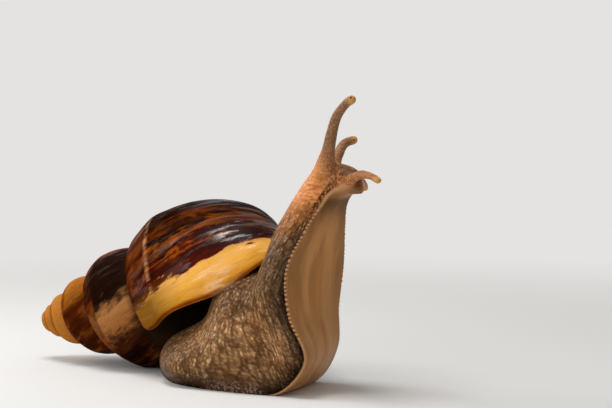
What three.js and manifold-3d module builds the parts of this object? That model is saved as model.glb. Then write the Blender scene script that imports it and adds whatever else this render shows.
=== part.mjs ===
// Giant African land snail, a life-size model of the animal rearing up.
// Millimetres, +X ahead, +Y the animal's left, +Z up. The shell is one solid.
// The flesh is shaped as one mass and then parted into a node for each part of the body.
import * as THREE from "three";
import { ParametricGeometry } from "three/addons/geometries/ParametricGeometry.js";
import { mergeVertices } from "three/addons/utils/BufferGeometryUtils.js";
import Module from "manifold-3d";

const wasm = await Module();
wasm.setup();

const TURN = 2 * Math.PI;
const RAD = Math.PI / 180;

// Shell: a right-handed cone of whorls, each one the last whorl grown by two fixed ratios.
const SHELL_HEIGHT = 85; // apex to the base of the lip
const SHELL_WALL = 1.3; // thickness at the lip
const WIDTH_GROWTH = 1.531; // per turn, across the axis
const HEIGHT_GROWTH = 1.799; // per turn, along the axis
const WHORL_CENTRE = 0.1384; // the tube's centre from the axis, as a share of the height
const WHORL_OUT = 0.157; // the tube's half width across the axis, same share
const WHORL_DOWN = 0.268; // its half width along the axis, same share
const WHORL_LEAN = 0.0688; // radians
const LIP_SLANT = -0.3704; // radians the lip sweeps back from its middle to its base
// The last bit of growth bows the lip: radians ahead of (or behind) its even line, the place
// round the section and the half width of each bow.
const LIP_BOWS = [
  [0.105, 0.36, 0.37],
  [-0.05, -0.45, 0.28],
];
const BOW_TURN = 0.5; // radians before the lip at which the bows begin
const WHORLS = 5.25;
const FINE_WHORLS = 2.5; // the earlier ones are small and take fewer facets
const FACETS = { round: 18, perTurn: 16, smallRound: 12, smallPerTurn: 12 };
const AXIS_CLEAR = 0.006; // the tube keeps this share of the height away from the axis
const HOLLOW_TURN = 0.4; // how far the open mouth runs back into the last whorl
const PAST_LIP = 0.5; // radians the hollow is cut beyond the lip
const DOME_END = 0.02; // share of the section at which a dome is closed
const HOLLOW_DOME = 0.7; // radians of its rounded inner end
const APEX = new THREE.Vector3(-74.65, 3.3, 10.6);
const SHELL_YAW = 10.2 * RAD;
const SHELL_PITCH = 12.5 * RAD;
const SHELL_ROLL = -2.1 * RAD;

const GAP = 0.3; // between neighbouring solids
const FLOOR = 1.1; // height of the ground, on which the sole and the shell's belly rest

// Foot and neck, from the tail to the front lobe of the foot. at: the middle of the sole.
// yaw, pitch: the way it runs, in degrees. half: half width of the sole. back: height over the
// sole. sole: how far the sole swells below its middle. flank: how far the sides bulge past the
// sole, as a share of its half width.
const FOOT_AND_NECK = [
  { at: [-25.2, -5.0, 6.8], yaw: 8, pitch: 0, half: 0.4, back: 0.4, sole: 0.4, flank: 0 },
  { at: [-23.6, -4.6, 3.0], yaw: 8, pitch: 0, half: 3.0, back: 8.5, sole: 0.5, flank: 0.9 },
  { at: [-18.6, -3.8, 0.7], yaw: 8, pitch: 0, half: 5.2, back: 13.5, sole: 0.5, flank: 1.2 },
  { at: [-8.0, -2.2, 0.5], yaw: 8, pitch: 0, half: 10.2, back: 18.0, sole: 0.5, flank: 0.4 },
  { at: [3.0, -0.6, 0.5], yaw: 10, pitch: 2, half: 11.8, back: 15.0, sole: 0.5, flank: 0.24 },
  { at: [13.2, 0.6, 2.0], yaw: 14, pitch: 32, half: 12.0, back: 10.5, sole: 0.5, flank: 0.14 },
  { at: [19.6, 0.8, 10.4], yaw: 18, pitch: 82, half: 12.6, back: 12.0, sole: 0.6, flank: 0.08 },
  { at: [18.0, 0, 20.5], yaw: 7, pitch: 94, half: 12.2, back: 17.5, sole: 0.6, flank: 0.04 },
  { at: [18.3, 0, 31.0], yaw: 0, pitch: 86, half: 11.6, back: 12.6, sole: 0.6, flank: 0 },
  { at: [21.0, 0, 40.0], yaw: 0, pitch: 75, half: 8.2, back: 11.1, sole: 0.6, flank: 0 },
  { at: [23.6, 0, 46.0], yaw: 0, pitch: 64, half: 5.3, back: 9.7, sole: 0.6, flank: 0 },
  { at: [26.2, 0, 49.4], yaw: 0, pitch: 42, half: 4.8, back: 4.6, sole: 0.9, flank: 0 },
  { at: [29.4, 0, 51.0], yaw: 0, pitch: 10, half: 4.2, back: 1.2, sole: 2.3, flank: 0 },
  { at: [31.5, 0, 49.9], yaw: 0, pitch: 0, half: 0.9, back: 0.5, sole: 0.9, flank: 0 },
];
const CORNER = 0.8; // power that squares the foot's rounded section
const BULGE_FALL = 1.25; // the flanks bulge most below the middle of the back
const THINNEST = 0.1;

// Round limbs: each row is a point of the middle line and the radius there.
const HEAD_CORE = [
  [16.4, 0, 42.0, 1.0],
  [18.6, 0, 46.8, 5.2],
  [22.7, 0, 51.3, 4.8],
  [28.0, 0, 52.4, 3.5],
  [30.4, 0, 52.9, 2.4],
  [31.5, 0, 52.9, 2.0],
];
const MOUTH_PAD = [
  [27.6, 0, 50.6, 0.6],
  [29.6, 0, 51.0, 1.6],
  [31.0, 0, 51.2, 1.5],
  [31.8, 0, 51.2, 1.3],
];
// The trunk goes up into the shell, and the belly fills the corner where the neck rears up.
const TRUNK = [
  [3, 0, 2, 6.0],
  [2.5, -0.5, 9, 14.8],
  [0.2, 0.9, 17.2, 12.9],
  [-4.3, 4.3, 24.2, 9.8],
  [-6.4, 5.2, 31, 6.6],
  [-8, 4.8, 36, 5],
];
const BELLY = [
  [-12, -2.0, 8.0, 6.0],
  [-6, -1.4, 9.5, 11.5],
  [2, -0.4, 10.5, 14.4],
  [9, 0.2, 11.0, 14.2],
  [14, 0.6, 12.0, 11.0],
];
// Feelers bend towards their tips, which end in a small knob.
const UPPER_RIGHT = [
  [20.4, -1.8, 47.4, 4.5],
  [22.9, -3.3, 53.2, 3.5],
  [25.2, -4.8, 58.6, 1.85],
  [27.2, -6.1, 63.2, 1.35],
  [29.5, -7.4, 67.2, 1.2],
  [32.5, -8.4, 70.0, 1.05],
  [34.6, -8.9, 71.2, 1.1],
  [35.9, -9.1, 71.2, 1.15],
];
const UPPER_LEFT = [
  [21.8, 2.2, 48.6, 2.8],
  [21.2, 3.8, 54.0, 2.0],
  [20.7, 5.8, 57.6, 1.35],
  [20.5, 8.4, 60.1, 1.15],
  [21.1, 11.0, 61.0, 1.1],
  [21.8, 12.3, 61.0, 1.15],
];
const LOWER_RIGHT = [
  [26.6, -1.8, 51.6, 2.4],
  [30.8, -3.4, 52.7, 1.7],
  [34.8, -5.2, 53.9, 1.15],
  [38.4, -6.6, 53.8, 0.85],
  [41.1, -7.6, 53.0, 0.85],
  [41.9, -8.0, 52.4, 0.85],
];
const LOWER_LEFT = [
  [26.6, 1.6, 51.4, 2.0],
  [28.2, 3.8, 51.4, 1.5],
  [28.2, 5.6, 50.8, 1.0],
  [27.6, 7.0, 50.1, 0.85],
  [27.1, 7.8, 49.5, 0.85],
];
const TIP_CROWDING = 1.7; // rings stand closer towards the domed tip of a limb
const TIP_END = 0.05; // share of the radius at which the dome is closed
const FEELER_CUT = { upperRight: 0.25, upperLeft: 0.36, lowerRight: 0.36, lowerLeft: 0.48 };
const EYE_RADIUS = 0.55;
const EYE_DEPTH = 0.6; // of its centre behind the tip
const CLEARANCE = 1.2 * GAP; // of the flesh from the shell it presses against

// A value list blended smoothly between its rows; t runs from 0 at the first row to 1 at the last.
function blend(rows, t) {
  const last = rows.length - 1;
  const s = Math.min(Math.max(t, 0), 1) * last;
  const i = Math.min(Math.floor(s), last - 1);
  const f = s - i;
  const row = (k) => rows[Math.min(Math.max(k, 0), last)];
  return rows[0].map((_, c) => {
    const b = row(i)[c];
    const d = row(i + 1)[c];
    const a = i === 0 ? 2 * b - d : row(i - 1)[c];
    const e = i === last - 1 ? 2 * d - b : row(i + 2)[c];
    return b + 0.5 * f * (d - a + f * (2 * a - 5 * b + 4 * d - e + f * (3 * (b - d) + e - a)));
  });
}

// A manifold solid of a closed geometry.
function solidOf(geometry) {
  const bare = new THREE.BufferGeometry();
  bare.setAttribute("position", geometry.getAttribute("position"));
  bare.setIndex(geometry.getIndex());
  const merged = mergeVertices(bare, 1e-4);
  const index = merged.getIndex().array;
  const triangles = [];
  for (let i = 0; i < index.length; i += 3) {
    const [a, b, c] = [index[i], index[i + 1], index[i + 2]];
    if (a !== b && b !== c && c !== a) triangles.push(a, b, c);
  }
  const vertProperties = new Float32Array(merged.getAttribute("position").array);
  const triVerts = new Uint32Array(triangles);
  return new wasm.Manifold(new wasm.Mesh({ numProp: 3, vertProperties, triVerts }));
}

// A solid swept along a path: ring(t, turn, target) gives the skin, and centre(t, target) closes
// its two ends.
function swept(ring, centre, along, round) {
  const skin = (turn, s, target) => {
    const row = Math.round(s * (along + 2)) - 1;
    const t = Math.min(Math.max(row / along, 0), 1);
    if (row < 0 || row > along) centre(t, target);
    else ring(t, turn === 1 ? 0 : turn, target);
  };
  return solidOf(new ParametricGeometry(skin, round, along + 2));
}

// A geometry of a solid, for its mesh.
function geometryOf(solid) {
  const { numProp, vertProperties, triVerts } = solid.getMesh();
  const interleaved = new THREE.InterleavedBuffer(vertProperties, numProp);
  const geometry = new THREE.BufferGeometry();
  geometry.setAttribute("position", new THREE.InterleavedBufferAttribute(interleaved, 3, 0));
  geometry.setIndex(new THREE.BufferAttribute(triVerts, 1));
  return geometry;
}

// All that lies beyond a plane, in a box wide enough to hold any part here.
function beyond(point, normal) {
  const reach = 120;
  const box = new THREE.BoxGeometry(2 * reach, 2 * reach, reach);
  const n = new THREE.Vector3(...normal).normalize();
  box.translate(0, 0, reach / 2 + GAP / 2);
  box.applyQuaternion(new THREE.Quaternion().setFromUnitVectors(new THREE.Vector3(0, 0, 1), n));
  box.translate(...point);
  return solidOf(box);
}

// Parts a solid by a plane and gives [the side the normal points to, the other side].
function parted(solid, point, normal) {
  const back = normal.map((c) => -c);
  return [solid.intersect(beyond(point, normal)), solid.intersect(beyond(point, back))];
}

function ball(centre, radius) {
  const sphere = new THREE.SphereGeometry(radius, 12, 8);
  sphere.translate(...centre);
  return solidOf(sphere);
}

// Shell frame: its own +Z runs from base to apex, and its +X out through the middle of the lip.
const ahead = new THREE.Vector3(
  Math.cos(SHELL_PITCH) * Math.cos(SHELL_YAW),
  Math.cos(SHELL_PITCH) * Math.sin(SHELL_YAW),
  Math.sin(SHELL_PITCH),
);
const toRight = new THREE.Vector3(Math.sin(SHELL_YAW), -Math.cos(SHELL_YAW), 0);
const above = new THREE.Vector3().crossVectors(toRight, ahead);
const lipWay = toRight.multiplyScalar(Math.cos(SHELL_ROLL)).addScaledVector(above, Math.sin(SHELL_ROLL));
const shellUp = ahead.clone().negate();
const shellFrame = new THREE.Matrix4()
  .makeBasis(lipWay, new THREE.Vector3().crossVectors(shellUp, lipWay), shellUp)
  .setPosition(APEX);

// A point of the growing tube: angle back from the lip, place round the section (0 is outermost),
// and how far inside.
function whorlPoint(angle, around, inset, share, target) {
  const out = (WHORL_OUT - inset / SHELL_HEIGHT) * share * Math.cos(around);
  const down = (WHORL_DOWN - inset / SHELL_HEIGHT) * share * Math.sin(around);
  const radius = WHORL_CENTRE + out * Math.cos(WHORL_LEAN) - down * Math.sin(WHORL_LEAN);
  const depth = 1 - WHORL_DOWN + out * Math.sin(WHORL_LEAN) + down * Math.cos(WHORL_LEAN);
  const r = Math.max(radius, AXIS_CLEAR) * SHELL_HEIGHT * WIDTH_GROWTH ** (angle / TURN);
  const z = -depth * SHELL_HEIGHT * HEIGHT_GROWTH ** (angle / TURN);
  const late = Math.max(1 + Math.min(angle, 0) / BOW_TURN, 0) ** 2;
  const bow = LIP_BOWS.reduce((sum, [ahead, at, wide]) => {
    const off = Math.atan2(Math.sin(around - at), Math.cos(around - at)) / wide;
    return sum + ahead * Math.exp(-off * off);
  }, 0);
  const turned = angle + (LIP_SLANT * Math.sin(around) + late * bow) * share;
  return target.set(r * Math.cos(turned), -r * Math.sin(turned), z).applyMatrix4(shellFrame);
}

// The tube from one angle back to another. A positive rounding closes its far end as a dome that
// many radians long.
function whorlTube(from, to, inset, along, round, rounding = 0) {
  const shareAt = (angle) => {
    const left = rounding ? Math.min((angle - to) / rounding, 1) : 1;
    return Math.sqrt(Math.max(1 - (1 - left) ** 2, DOME_END ** 2));
  };
  const ring = (t, turn, target) => {
    const angle = from + (to - from) * t;
    whorlPoint(angle, TURN * turn, inset, shareAt(angle), target);
  };
  const centre = (t, target) => whorlPoint(from + (to - from) * t, 0, inset, 0, target);
  return swept(ring, centre, along, round);
}

// Whorls in half turns, each reaching one step into the next so that they join as one shell.
function shellSolid(inset, wall, past, whorls) {
  const { round, perTurn, smallRound, smallPerTurn } = FACETS;
  let step = TURN / perTurn;
  const mouthEnd = -step * Math.round(HOLLOW_TURN * perTurn + 2);
  let shell = whorlTube(past, mouthEnd, inset, Math.round(-mouthEnd / step), round);
  const hollowSteps = Math.round(HOLLOW_TURN * perTurn) + 2;
  shell = shell.subtract(whorlTube(PAST_LIP, -HOLLOW_TURN * TURN, wall, hollowSteps, round, HOLLOW_DOME));
  let at = mouthEnd + step;
  for (let end = at; end > -whorls * TURN; at = end + step) {
    const fine = at > -FINE_WHORLS * TURN;
    if (!fine) step = TURN / smallPerTurn;
    end = Math.max(at - TURN / 2, -whorls * TURN);
    shell = shell.add(whorlTube(at, end, inset, Math.round((at - end) / step), fine ? round : smallRound));
  }
  return shell;
}
const onFloor = (solid) => solid.intersect(beyond([0, 0, FLOOR - GAP / 2], [0, 0, 1]));
const shell = onFloor(shellSolid(0, SHELL_WALL, 0, WHORLS));

// Foot and neck: a flat sole under a domed back, turned up from the ground at the front.
const stations = FOOT_AND_NECK.map((s) => [...s.at, s.yaw, s.pitch, s.half, s.back, s.sole, s.flank]);
function footRing(t, turn, target) {
  const [x, y, z, yaw, pitch, half, back, sole, flank] = blend(stations, t);
  const a = TURN * turn;
  const square = (value) => Math.sign(value) * Math.abs(value) ** CORNER;
  const rise = Math.sin(a) > 0 ? back * square(Math.sin(a)) : sole * Math.sin(a);
  const height = (BULGE_FALL * Math.max(rise, 0)) / Math.max(back, THINNEST);
  const bulge = 1 + flank * Math.sin(Math.PI * Math.min(height, 1));
  const side = -half * square(Math.cos(a)) * bulge;
  const [p, h] = [pitch * RAD, yaw * RAD];
  target.set(x, y, z);
  target.x += side * Math.sin(h) - rise * Math.sin(p) * Math.cos(h);
  target.y += -side * Math.cos(h) - rise * Math.sin(p) * Math.sin(h);
  target.z += rise * Math.cos(p);
}
function footCentre(t, target) {
  const [x, y, z] = blend(stations, t);
  target.set(x, y, z + THINNEST);
}

// A round limb along its rows, with a domed tip.
function limb(rows, along, round) {
  const place = new THREE.Vector3();
  const next = new THREE.Vector3();
  const side = new THREE.Vector3();
  const up = new THREE.Vector3();
  const reference = new THREE.Vector3(0.3, 1, 0.1).normalize();
  const tip = new THREE.Vector3(...rows[rows.length - 1]);
  const ring = (s, turn, target) => {
    const t = 1 - (1 - s) ** TIP_CROWDING;
    const [x, y, z, full] = blend(rows, t);
    const before = blend(rows, Math.max(t - 0.01, 0));
    const after = blend(rows, Math.min(t + 0.01, 1));
    place.set(x, y, z);
    const short = Math.max(1 - place.distanceTo(tip) / full, 0);
    const radius = full * Math.sqrt(Math.max(1 - short * short, TIP_END ** 2));
    next.set(after[0] - before[0], after[1] - before[1], after[2] - before[2]).normalize();
    side.crossVectors(next, reference).normalize();
    up.crossVectors(next, side);
    target.copy(place).addScaledVector(side, radius * Math.cos(TURN * turn));
    target.addScaledVector(up, radius * Math.sin(TURN * turn));
  };
  const centre = (s, target) => target.set(...rows[s > 0.5 ? rows.length - 1 : 0]);
  return swept(ring, centre, along, round);
}

// A feeler, parted a little above its root: [the free limb, the root that stays on the head].
function feeler(rows, along, round, cutAt) {
  const [x, y, z] = blend(rows, cutAt);
  const [a, b, c] = blend(rows, cutAt + 0.05);
  return parted(limb(rows, along, round), [x, y, z], [a - x, b - y, c - z]);
}
const [upperRight, upperRightRoot] = feeler(UPPER_RIGHT, 20, 12, FEELER_CUT.upperRight);
const [upperLeft, upperLeftRoot] = feeler(UPPER_LEFT, 16, 12, FEELER_CUT.upperLeft);
const [lowerRight, lowerRightRoot] = feeler(LOWER_RIGHT, 14, 10, FEELER_CUT.lowerRight);
const [lowerLeft, lowerLeftRoot] = feeler(LOWER_LEFT, 12, 10, FEELER_CUT.lowerLeft);

// Eyes sit in the tips of the upper feelers.
function eyeCentre(rows) {
  const [x, y, z] = rows[rows.length - 1];
  const [a, b, c] = rows[rows.length - 2];
  const way = new THREE.Vector3(x - a, y - b, z - c).normalize();
  return new THREE.Vector3(x, y, z).addScaledVector(way, -EYE_DEPTH).toArray();
}
const eyeRight = eyeCentre(UPPER_RIGHT);
const eyeLeft = eyeCentre(UPPER_LEFT);
const socket = (solid, eye) => solid.subtract(ball(eye, EYE_RADIUS + GAP));

// The flesh presses against the lip, so a shell thicker by the gap is cut from it.
const joined = (pieces) => pieces.reduce((all, piece) => all.add(piece));
const room = shellSolid(-CLEARANCE, SHELL_WALL + CLEARANCE, 0.03, 2);
const foot = swept(footRing, footCentre, 42, 22);
const body = onFloor(joined([foot, limb(TRUNK, 12, 18), limb(BELLY, 10, 18)]).subtract(room));
const headMass = [limb(HEAD_CORE, 14, 18), limb(MOUTH_PAD, 6, 10)];
const roots = [upperRightRoot, upperLeftRoot, lowerRightRoot, lowerLeftRoot];
const flesh = joined([body, ...headMass, ...roots]);

// Parting planes of the body.
const [upper, lower] = parted(flesh, [0, 0, 15], [0, 0, 1]);
const [footFront, footRear] = parted(lower, [-6, 0, 8], [1, 0, 0]);
const [neck, mantle] = parted(upper, [5.1, 0, 20], [1, 0, 0]);
const [neckTop, neckLower] = parted(neck, [12, 0, 31], [0, 0, 1]);
const [headAll, neckUpper] = parted(neckTop, [20, 0, 46], [0.5, 0, 1]);
const [mouth, head] = parted(headAll, [28.4, 0, 51.2], [1, 0, -0.3]);

const NODES = {
  shell: [shell, 0x6b3a1c],
  foot_rear: [footRear, 0x8c6f5a],
  foot_front: [footFront, 0x8c6f5a],
  mantle: [mantle, 0x6d5648],
  neck_lower: [neckLower, 0x94755d],
  neck_upper: [neckUpper, 0xa07a58],
  head: [head, 0xb5824f],
  mouth: [mouth, 0xb08a68],
  feeler_upper_right: [socket(upperRight, eyeRight), 0x9a7a62],
  feeler_upper_left: [socket(upperLeft, eyeLeft), 0x9a7a62],
  feeler_lower_right: [lowerRight, 0xa9825f],
  feeler_lower_left: [lowerLeft, 0xa9825f],
  eye_right: [ball(eyeRight, EYE_RADIUS), 0x14100c],
  eye_left: [ball(eyeLeft, EYE_RADIUS), 0x14100c],
};

const snail = new THREE.Group();
for (const [name, [solid, color]] of Object.entries(NODES)) {
  const mesh = new THREE.Mesh(geometryOf(solid), new THREE.MeshStandardMaterial({ color, roughness: 0.5 }));
  mesh.name = name;
  snail.add(mesh);
}

// The origin is the middle of the base of the whole animal.
const extent = new THREE.Box3().setFromObject(snail);
const middle = extent.getCenter(new THREE.Vector3());
for (const mesh of snail.children) mesh.position.set(-middle.x, -middle.y, -extent.min.z);

export default snail;
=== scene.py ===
"""A giant African land snail, life size: the dressed model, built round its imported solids."""
import math

import bpy
import numpy as np
from mathutils.bvhtree import BVHTree
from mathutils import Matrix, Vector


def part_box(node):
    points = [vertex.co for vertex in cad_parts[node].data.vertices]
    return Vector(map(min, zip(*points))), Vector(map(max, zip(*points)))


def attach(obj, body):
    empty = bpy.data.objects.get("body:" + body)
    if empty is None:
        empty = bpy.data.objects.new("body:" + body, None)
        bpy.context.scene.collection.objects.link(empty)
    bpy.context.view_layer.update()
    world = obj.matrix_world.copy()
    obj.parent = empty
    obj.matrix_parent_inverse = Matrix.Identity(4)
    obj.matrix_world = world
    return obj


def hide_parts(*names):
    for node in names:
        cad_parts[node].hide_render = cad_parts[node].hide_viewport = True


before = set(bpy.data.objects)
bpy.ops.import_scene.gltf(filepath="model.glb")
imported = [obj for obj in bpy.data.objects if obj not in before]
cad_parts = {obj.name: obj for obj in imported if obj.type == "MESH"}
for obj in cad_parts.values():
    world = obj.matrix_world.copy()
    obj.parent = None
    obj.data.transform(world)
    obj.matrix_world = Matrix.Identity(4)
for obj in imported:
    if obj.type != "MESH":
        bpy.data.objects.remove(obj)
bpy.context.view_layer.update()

# ---------------------------------------------------------------------------------------------
# Camera: low and close to life, at the animal's right and a little ahead of it. Places are given
# in millimetres from here on, in the space in which the solids were drawn, and the eye in the
# right upper feeler, known in that space and in the frame, gives the shift from one to the other.
# ---------------------------------------------------------------------------------------------
MM = 0.001
TIP_RIGHT = np.array([35.9, -9.1, 71.2])  # end of the right upper feeler
TIP_WAY = np.array([1.3, -0.2, 0.0])  # the way it points there
EYE_BACK = 0.6  # from the end back to the middle of the solids' eye
EYE_RIGHT = TIP_RIGHT - EYE_BACK * TIP_WAY / np.linalg.norm(TIP_WAY)
SHIFT = np.mean(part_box("eye_right"), axis=0) / MM - EYE_RIGHT
SENSOR = 36.0

CAMERA_AZIMUTH, CAMERA_ELEVATION = math.radians(36), math.radians(4)
CAMERA_DISTANCE = 530.0
AIM = np.array([0.0, 21.2, 44.2])  # the point in the middle of the picture
FOCAL_SHARE = 3.444  # focal length over the width of the picture

camera = bpy.data.objects.new("camera", bpy.data.cameras.new("camera"))
toward = np.array([
    math.sin(CAMERA_AZIMUTH) * math.cos(CAMERA_ELEVATION),
    -math.cos(CAMERA_AZIMUTH) * math.cos(CAMERA_ELEVATION),
    math.sin(CAMERA_ELEVATION),
])
camera.location = (AIM + SHIFT + toward * CAMERA_DISTANCE) * MM
camera.rotation_euler = (math.pi / 2 - CAMERA_ELEVATION, 0, CAMERA_AZIMUTH)
camera.data.sensor_width = SENSOR
camera.data.lens = SENSOR * FOCAL_SHARE
camera.data.clip_start = 10 * MM
bpy.context.collection.objects.link(camera)
scene = bpy.context.scene
scene.camera = camera
scene.view_settings.view_transform = "Standard"

# ---------------------------------------------------------------------------------------------
# Floor and light: a pale paper sweep under one big soft lamp, with two weaker ones to the sides
# and an even, weak light from all round.
# ---------------------------------------------------------------------------------------------
PALE = "#e4e3e1"
FLOOR_HALF = 4.0  # half the side of the floor, m
FADE_FROM, FADE_TO = 0.09, 0.34  # metres from the middle between which the paper turns to PALE
WORLD_STRENGTH = 0.36


def linear(code):
    """The linear colour, with alpha, of an sRGB hex code."""
    c = np.array([int(code[i:i + 2], 16) for i in (1, 3, 5)]) / 255
    return (*np.where(c <= 0.04045, c / 12.92, ((c + 0.055) / 1.055) ** 2.4), 1.0)


def add(tree, kind, inputs, out=0, stops=(), **settings):
    """Adds a shader node and gives its output numbered out. inputs: socket name or number to
    value or socket. A MapRange takes its value in 0, from 1 and 2 to 3 and 4; a Mix takes its
    share in 0, numbers in 2 and 3 and colours in 6 and 7. stops: a ramp's places and colours."""
    node = tree.nodes.new("ShaderNode" + kind)
    for key, value in settings.items():
        setattr(node, key, value)
    for key, value in inputs.items():
        if isinstance(value, bpy.types.NodeSocket):
            tree.links.new(value, node.inputs[key])
        else:
            node.inputs[key].default_value = value
    if stops:
        elements = node.color_ramp.elements
        for place, code in stops[1:-1]:
            elements.new(place).color = linear(code)
        elements[0].position, elements[0].color = stops[0][0], linear(stops[0][1])
        elements[-1].position, elements[-1].color = stops[-1][0], linear(stops[-1][1])
    return node.outputs[out] if node.outputs else None


def new_tree(owner):
    """An empty node tree on a material or a world."""
    owner.use_nodes = True
    owner.node_tree.nodes.clear()
    return owner.node_tree


paper = bpy.data.materials.new("pale_paper")  # matt paper that fades into the even backdrop
tree = new_tree(paper)
place = add(tree, "TexCoord", {}, out=3)
far = add(tree, "VectorMath", {0: place}, out=1, operation="LENGTH")
fade = add(tree, "MapRange", {0: far, 1: FADE_FROM, 2: FADE_TO}, interpolation_type="SMOOTHSTEP")
seen = add(tree, "LightPath", {})
fade = add(tree, "Math", {0: fade, 1: seen}, operation="MULTIPLY")
matt = add(tree, "BsdfPrincipled", {"Base Color": linear("#e2e1df"), "Roughness": 0.9})
glow = add(tree, "Emission", {0: linear(PALE)})
sheet = add(tree, "MixShader", {0: fade, 1: matt, 2: glow})
add(tree, "OutputMaterial", {0: sheet})

corner = np.array([[-1, -1, 0], [1, -1, 0], [1, 1, 0], [-1, 1, 0]]) * FLOOR_HALF
mesh = bpy.data.meshes.new("floor")
mesh.from_pydata(corner.tolist(), [], [(0, 1, 2, 3)])
mesh.materials.append(paper)
floor = bpy.data.objects.new("floor", mesh)
bpy.context.collection.objects.link(floor)

world = bpy.data.worlds.new("studio")
scene.world = world
tree = new_tree(world)
rays = tree.nodes.new("ShaderNodeLightPath").outputs
seen, mirrored, through = (rays["Is %s Ray" % kind] for kind in ("Camera", "Glossy", "Transmission"))
shown = add(tree, "Math", {0: seen, 1: mirrored}, operation="MAXIMUM")
shown = add(tree, "Math", {0: shown, 1: through}, operation="MAXIMUM")
even = add(tree, "Background", {0: linear(PALE), 1: 1.0})
light = add(tree, "Background", {0: linear("#f4f2ee"), 1: WORLD_STRENGTH})
add(tree, "OutputWorld", {0: add(tree, "MixShader", {0: shown, 1: light, 2: even})})

# Lamps: name, place and aim in mm, side of the square in mm, power in watts.
for name, place, target, size, power in (
    ("key_light", (-60, -60, 430), (-15, 0, 30), 170, 1.05),
    ("fill_light", (-60, -430, 150), (0, 0, 30), 280, 0.62),
    ("side_light", (-330, -60, 190), (0, 0, 35), 200, 0.5),
):
    lamp = bpy.data.lights.new(name, "AREA")
    lamp.shape = "SQUARE"
    lamp.size = size * MM
    lamp.energy = power
    box = bpy.data.objects.new(name, lamp)
    box.location = (np.array(place) + SHIFT) * MM
    way = np.array(place, float) - np.array(target, float)
    tilt = math.atan2(math.hypot(way[0], way[1]), way[2])
    box.rotation_euler = (tilt, 0, math.atan2(way[1], way[0]) + math.pi / 2)
    bpy.context.collection.objects.link(box)

# ---------------------------------------------------------------------------------------------
# The shell: lime under a thin horny skin, laid down at the lip as the animal grows, so that each
# whorl is the last one made larger by two fixed ratios and all its lines run parallel to the lip.
# ---------------------------------------------------------------------------------------------
TURN = 2 * math.pi
FLOOR = 1.1  # height of the ground, mm
SHELL_HEIGHT = 85.0
WIDTH_GROWTH, HEIGHT_GROWTH = 1.531, 1.799  # per turn, across the axis and along it
WHORL_CENTRE = 0.1384  # the tube's centre from the axis, as a share of the height
WHORL_OUT, WHORL_DOWN = 0.157, 0.268  # the tube's half widths across and along the axis
WHORL_LEAN = 0.0688  # radians by which the tube's section leans
LIP_SLANT = -0.3704  # radians: the lip leads at the seam and lags at the far end of its section
WHORLS = 5.6
HOLLOW_TURN = 0.42  # turns that the open mouth runs back into the last whorl
# The last bit of growth bows the lip: radians ahead of its even line, place round the section and
# half width of each bow.
LIP_BOWS = ((0.105, 0.36, 0.37), (-0.05, -0.45, 0.28))
BOW_TURN = 0.5  # radians before the lip at which the bows begin
LIP_EDGE = 0.5  # radius of the lip's rounded edge, mm
LIP_RADIUS = 24.0  # of the lip from the axis, mm
WALL_GAIN = 0.4  # how much thicker the wall is a radian inside the lip, mm
AXIS_GAP = 0.006  # the least distance from the axis, as a share of the height
APEX = np.array([-74.65, 3.3, 10.6])
SHELL_YAW, SHELL_PITCH, SHELL_ROLL = np.radians([10.2, 12.5, -2.1])
SHOULDER = -0.56  # place on the section of the low ridge below each seam
RIDGE_HEIGHT, RIDGE_WIDE = 0.35, 0.09  # of that ridge, mm and radians of the section
FURROW_DEPTH, FURROW_AT, FURROW_WIDE = 0.45, SHOULDER - 0.32, 0.2  # of the furrow above it
# Growth lines of three kinds: height in mm, spacing in radians of growth, seed.
GROWTH_LINES = ((0.10, 0.11, 1), (0.06, 0.045, 2), (0.22, 0.6, 3))
LINE_SLIP = 0.3  # how much slower the lines change across the section than along the growth

# The coil's own axes, as columns: towards the lip, across that, and up the axis to the apex.
ahead = np.array([
    math.cos(SHELL_PITCH) * math.cos(SHELL_YAW),
    math.cos(SHELL_PITCH) * math.sin(SHELL_YAW),
    math.sin(SHELL_PITCH),
])
to_right = np.array([math.sin(SHELL_YAW), -math.cos(SHELL_YAW), 0.0])
lip_way = to_right * math.cos(SHELL_ROLL) + np.cross(to_right, ahead) * math.sin(SHELL_ROLL)
SHELL_AXES = np.stack([lip_way, np.cross(-ahead, lip_way), -ahead], axis=1)


def closed_grid(rows, start, end):
    """Vertices, quads and triangles of closed rows joined one to the next, with the first and
    last row fanned to one point each."""
    n, m, _ = rows.shape
    vertices = np.concatenate([rows.reshape(-1, 3), [start, end]])
    i = np.arange(n - 1)[:, None] * m
    j = np.arange(m)[None]
    k = (j + 1) % m
    quads = np.stack([i + j, i + k, i + m + k, i + m + j], axis=-1).reshape(-1, 4)
    j, k = j[0], k[0]
    first = np.stack([np.full(m, n * m), k, j], axis=-1)
    last = np.stack([(n - 1) * m + j, (n - 1) * m + k, np.full(m, n * m + 1)], axis=-1)
    return vertices, quads, np.concatenate([first, last])


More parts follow.
